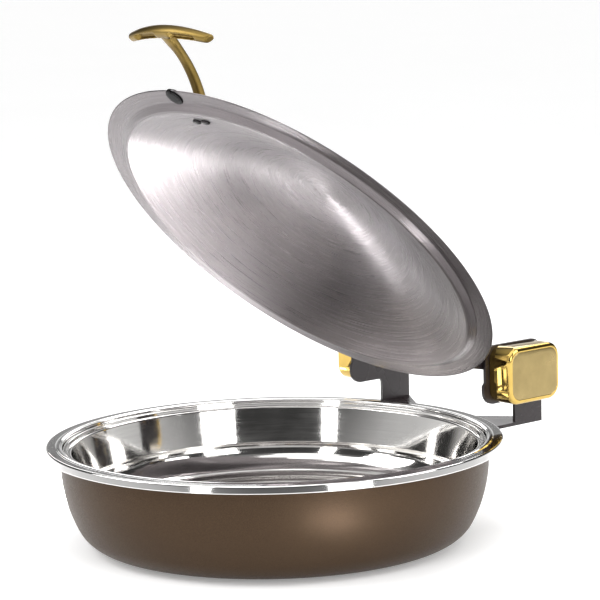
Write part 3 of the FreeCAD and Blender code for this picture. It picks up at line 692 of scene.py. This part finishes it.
# ------------------------------------------------------------------ hinge
def cover(side):
    """Polished cap: rounded box with a rolled outer edge and a satin face set in a fine line."""
    name = "hinge_cover_" + ("right" if side > 0 else "left")
    low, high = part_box(name)
    inner, outer = (low.x, high.x) if side > 0 else (high.x, low.x)
    middle = Vector((0, (low.y + high.y) / 2, (low.z + high.z) / 2))
    half_y, half_z = (high.y - low.y) / 2, (high.z - low.z) / 2
    bend = 13.0 * MM                                   # corner radius of the outline

    def outline(inset, x, steps=14):
        radius = max(bend - inset * 0.9, 2 * MM)
        y, z = half_y - inset, half_z - inset
        ring = []
        for cy, cz, start in ((y - radius, z - radius, 0), (radius - y, z - radius, 90),
                              (radius - y, radius - z, 180), (y - radius, radius - z, 270)):
            for a, b in arc((cy, cz), radius, start, start + 90, steps):
                ring.append(middle + Vector((inner + side * x, a, b)))
        return ring

    build = bmesh.new()
    deep, roll = abs(outer - inner) / MM, 3.6
    shoulder = deep - 4.2
    # (inset, distance from the inner end) of each outline
    stack = [(0.9, 0.0), (0.25, 0.15), (0.0, 0.9), (0.0, shoulder)]
    crown = max(9.0, min(half_y, half_z) / MM - 3.0)
    for k in range(1, 9):
        turn = math.radians(90 * k / 9)
        stack.append((roll * (1 - math.cos(turn)), shoulder + roll * math.sin(turn)))
    stack += [(3.9, deep - 0.42), (4.2, deep - 0.62), (4.5, deep - 0.42),
              (5.4, deep - 0.22), (8.0, deep - 0.06), (crown, deep - 0.01)]
    loops = [[build.verts.new(p) for p in outline(inset * MM, x * MM)] for inset, x in stack]
    face_from = 13                                     # bottom of the fine line
    for index, (a, b) in enumerate(zip(loops, loops[1:])):
        for i in range(len(a)):
            j = (i + 1) % len(a)
            made = build.faces.new((a[i], a[j], b[j], b[i]))
            made.material_index = 1 if index >= face_from else 0
    build.faces.new(loops[0][::-1])
    front = build.faces.new(loops[-1])
    front.material_index = 1
    bmesh.ops.remove_doubles(build, verts=build.verts, dist=1e-7)
    piece = finish_mesh(name + "_polished", build, None, 60)
    piece.data.materials.append(GOLD)
    piece.data.materials.append(GOLD_FACE)
    place_piece(piece, "base", None, "gold_cover", name)


def hinge():
    """Bracket and strap with eased edges, and the hardware on the hinge line."""
    place_piece(softened("hinge_bracket", "hinge_bracket_coated", 0.45 * MM), "base", BLACK,
                "hinge_black", "hinge_bracket")
    place_piece(softened("lid_hinge_strap", "lid_strap_coated", 0.4 * MM), "lid", BLACK,
                "hinge_black", "lid_hinge_strap")
    for side in ("left", "right"):
        place_piece(softened("pivot_bolt_" + side, "pivot_bolt_%s_eased" % side, 0.5 * MM), "base",
                    DARK_STEEL, "dark_screws", "pivot_bolt_" + side)
        place_piece(softened("pivot_nut_" + side, "pivot_nut_%s_eased" % side, 0.4 * MM), "base",
                    ZINC, "zinc_steel", "pivot_nut_" + side)
    for side in (-1, 1):
        cover(side)


def carried_over():
    """CAD nodes whose shape is right keep it and get a full material."""
    finish = {"rim_bosses": ZINC, "friction_disc_left": FIBRE, "friction_disc_right": FIBRE,
              "spring_washer_left": ZINC, "spring_washer_right": ZINC, "arm_bushing_left": BEARING,
              "arm_bushing_right": BEARING, "handle_gasket": GASKET, "cover_screws": BLACK,
              "yoke_screws": ZINC}
    for node, material in finish.items():
        mesh = frame["nodes"][node].data
        mesh.materials.clear()
        mesh.materials.append(material)


body_bowl()
rim()
base_plate()
pan()
lid()
handle()
handle_fixings()
bumper()
hinge()
carried_over()


# ------------------------------------------------------------------ floor, light and camera
def floor():
    """Plain pale floor, wide enough to fill the view."""
    n = Nodes("pale_floor")
    drift = n.noise(1.5, 2, 0.5)
    n.surface(Base_Color=n.blend(drift, (0.86, 0.86, 0.86), (0.90, 0.90, 0.90)), Roughness=0.75)
    n.shader.inputs["Specular IOR Level"].default_value = 0.1
    n.shader.inputs["Emission Color"].default_value = (1, 1, 1, 1)
    n.shader.inputs["Emission Strength"].default_value = 0.25
    build = bmesh.new()
    rings = [[build.verts.new((r * math.cos(math.pi * i / 32), r * math.sin(math.pi * i / 32), 0))
              for i in range(64)] for r in (1.0, 6.0, 90.0)]
    build.faces.new(rings[0])
    for a, b in zip(rings, rings[1:]):
        for i in range(64):
            j = (i + 1) % 64
            build.faces.new((a[i], b[i], b[j], a[j]))
    ground = finish_mesh("floor", build)
    ground.data.materials.append(n.material)


def toward(azimuth, elevation):
    """Unit vector from the object towards a place seen from it; azimuth 0 is the front."""
    a, e = math.radians(azimuth), math.radians(elevation)
    return Vector((math.sin(a) * math.cos(e), -math.cos(a) * math.cos(e), math.sin(e)))


def facing(direction, roll=0.0):
    """Rotation whose local +Z points along the direction."""
    back = direction.normalized()
    right = Vector((0, 0, 1)).cross(back).normalized()
    up = back.cross(right)
    tilt = math.radians(roll)
    side = right * math.cos(tilt) - up * math.sin(tilt)
    head = right * math.sin(tilt) + up * math.cos(tilt)
    return Matrix((side, head, back)).transposed().to_4x4()


def softbox(name, azimuth, elevation, distance, width, height, power, target=(0, 0, 0.2)):
    """Rectangular area light that faces its target from a direction and distance."""
    data = bpy.data.lights.new(name, "AREA")
    data.shape = "RECTANGLE"
    data.size, data.size_y, data.energy = width, height, power
    lamp = bpy.data.objects.new(name, data)
    bpy.context.scene.collection.objects.link(lamp)
    direction = toward(azimuth, elevation)
    spot = Vector(target) + direction * distance
    lamp.matrix_world = Matrix.Translation(spot) @ facing(direction)


def sky():
    """Soft studio surroundings: bright overhead and round the horizon, dark in between."""
    world = bpy.data.worlds.new("studio")
    bpy.context.scene.world = world
    world.use_nodes = True
    tree = world.node_tree
    tree.nodes.clear()
    coords = tree.nodes.new("ShaderNodeTexCoord")
    split = tree.nodes.new("ShaderNodeSeparateXYZ")
    ramp = tree.nodes.new("ShaderNodeValToRGB")
    back = tree.nodes.new("ShaderNodeBackground")
    out = tree.nodes.new("ShaderNodeOutputWorld")
    tree.links.new(coords.outputs["Generated"], split.inputs[0])
    tree.links.new(split.outputs[2], ramp.inputs[0])
    tree.links.new(ramp.outputs[0], back.inputs[0])
    tree.links.new(back.outputs[0], out.inputs[0])
    # (height of the direction, grey): 0 is the horizon and below, 1 is straight up
    stops = ((0.0, 0.95), (0.015, 0.85), (0.16, 0.52), (0.22, 0.04), (0.50, 0.06), (0.72, 0.45),
             (1.0, 0.9))
    ramp.color_ramp.elements[0].position = stops[0][0]
    ramp.color_ramp.elements[0].color = (stops[0][1],) * 3 + (1,)
    ramp.color_ramp.elements[1].position = stops[-1][0]
    ramp.color_ramp.elements[1].color = (stops[-1][1],) * 3 + (1,)
    for position, value in stops[1:-1]:
        ramp.color_ramp.elements.new(position).color = (value,) * 3 + (1,)
    back.inputs[1].default_value = 1.0


def pool(name, spot, height, angle, power):
    """Small round pool of light on the floor."""
    data = bpy.data.lights.new(name, "SPOT")
    data.energy, data.spot_size, data.spot_blend = power, math.radians(angle), 1.0
    data.shadow_soft_size = 0.02
    lamp = bpy.data.objects.new(name, data)
    bpy.context.scene.collection.objects.link(lamp)
    lamp.location = (spot[0], spot[1], height)


def sun(name, azimuth, elevation, strength, spread):
    """Distant light from a direction, soft over an angle of spread."""
    data = bpy.data.lights.new(name, "SUN")
    data.energy = strength
    data.angle = math.radians(spread)
    lamp = bpy.data.objects.new(name, data)
    bpy.context.scene.collection.objects.link(lamp)
    lamp.matrix_world = facing(toward(azimuth, elevation))


def camera():
    """Long lens from the front right, a little above the rim."""
    data = bpy.data.cameras.new("camera")
    data.lens = 150.07
    data.sensor_width = 36.0
    data.clip_end = 500
    view = bpy.data.objects.new("camera", data)
    bpy.context.scene.collection.objects.link(view)
    aim, distance = Vector((0.0164, 0.0184, 0.2072)), 2.1251
    azimuth, elevation, roll = 48.184, 8.061, 1.358
    direction = toward(azimuth, elevation)
    view.matrix_world = Matrix.Translation(aim + direction * distance) @ facing(direction, roll)
    bpy.context.scene.camera = view


floor()
sky()
sun("overhead", 20, 68, 1.45, 70)
softbox("left_box", -35, 32, 2.0, 1.2, 1.4, 22)
softbox("right_box", 120, 30, 2.0, 0.9, 1.4, 16)
softbox("back_strip", 228, 18, 2.4, 1.6, 0.6, 8)
softbox("front_strip", 14, 16, 2.3, 0.35, 0.9, 9)
softbox("side_strip", 84, 14, 2.3, 0.85, 0.9, 14)
softbox("back_box", 200, 45, 2.2, 1.6, 0.8, 18)
pool("front_pool", (0.277, -0.101), 1.2, 6.0, 850)
pool("left_pool", (-0.30, 0.02), 1.2, 9.0, 760)
camera()
bpy.context.scene.view_settings.view_transform = "Standard"
